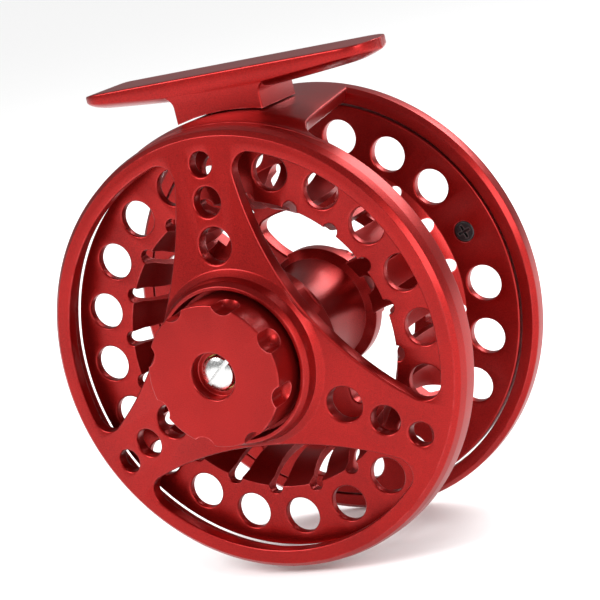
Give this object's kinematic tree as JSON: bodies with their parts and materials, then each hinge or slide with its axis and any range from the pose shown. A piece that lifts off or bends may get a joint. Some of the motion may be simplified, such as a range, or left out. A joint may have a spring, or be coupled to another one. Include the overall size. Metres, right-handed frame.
{
  "type": "fly reel",
  "caption": "Large-arbor fly reel: ported spool with handle in an open cage frame, click drag with scalloped knob, foot for a rod seat.",
  "frame": {"origin": "middle of the reel foot's flat top, the face that lies against the rod seat", "axes": "+Z out of the foot's top, away from the reel; +Y along the reel axis from the drag knob to the handle; +X along the foot"},
  "size_m": [0.088, 0.0739, 0.0957],
  "materials": {
    "red_anodised": "satin red anodised, fine sparkle",
    "steel": "machined stainless steel",
    "dark_steel": "dark oxide steel",
    "brass": "machined brass",
    "cork": "pressed cork",
    "rubber": "matt black rubber",
    "black_polymer": "moulded black polymer, fine texture"
  },
  "bodies": {
    "frame": {"frame": "red_anodised", "reel_foot": "red_anodised", "foot_screw_left": "steel", "foot_screw_right": "steel", "spindle": "steel", "spindle_screw": "steel", "spindle_seal": "rubber", "disc_spring_rear": "steel", "disc_spring_front": "steel", "detent_ball": "steel", "detent_spring": "steel", "drag_washer": "cork", "thrust_washer": "brass", "pawl_pin": "steel", "click_spring": "steel", "rear_bearing_inner_race": "steel", "front_bearing_inner_race": "steel", "bearing_spacer": "red_anodised"},
    "drag_knob": {"drag_knob": "red_anodised", "knob_nut": "brass"},
    "drag_rotor": {"drag_rotor": "steel"},
    "click_pawl": {"click_pawl": "steel"},
    "spool": {"spool": "red_anodised", "one_way_clutch": "dark_steel", "rear_bearing_outer_race": "steel", "front_bearing_outer_race": "steel", "handle_post": "steel", "handle_screw": "dark_steel", "handle_end_screw": "dark_steel", "counterweight": "red_anodised", "counterweight_screw": "dark_steel"},
    "handle_knob": {"handle_knob": "black_polymer", "handle_bush": "brass"},
    "spool_cap": {"spool_cap": "red_anodised"}
  },
  "joints": [
    {"name": "spool_spin", "type": "hinge", "parent": "frame", "child": "spool", "pos_m": [0, 0, -0.0517], "axis": [0, 1, 0], "continuous": true},
    {"name": "drag_rotor_spin", "type": "hinge", "parent": "frame", "child": "drag_rotor", "pos_m": [0, 0, -0.0517], "axis": [0, 1, 0], "continuous": true},
    {"name": "drag_knob_turn", "type": "hinge", "parent": "frame", "child": "drag_knob", "pos_m": [0, 0, -0.0517], "axis": [0, 1, 0], "range_deg": [-180, 180]},
    {"name": "click_pawl_swing", "type": "hinge", "parent": "frame", "child": "click_pawl", "pos_m": [0.00769, -0.0165, -0.04072], "axis": [0, 1, 0], "range_deg": [-5, 5], "stiffness_Nm_per_rad": 0.002},
    {"name": "handle_knob_spin", "type": "hinge", "parent": "spool", "child": "handle_knob", "pos_m": [-0.03238, 0.03, -0.06222], "axis": [0, 1, 0], "continuous": true},
    {"name": "spool_cap_turn", "type": "hinge", "parent": "frame", "child": "spool_cap", "pos_m": [0, 0.019, -0.0517], "axis": [0, 1, 0], "range_deg": [0, 360]}
  ],
  "couplings": [
    {"joint": "drag_rotor_spin", "follows": "spool_spin", "ratio": 1}
  ]
}
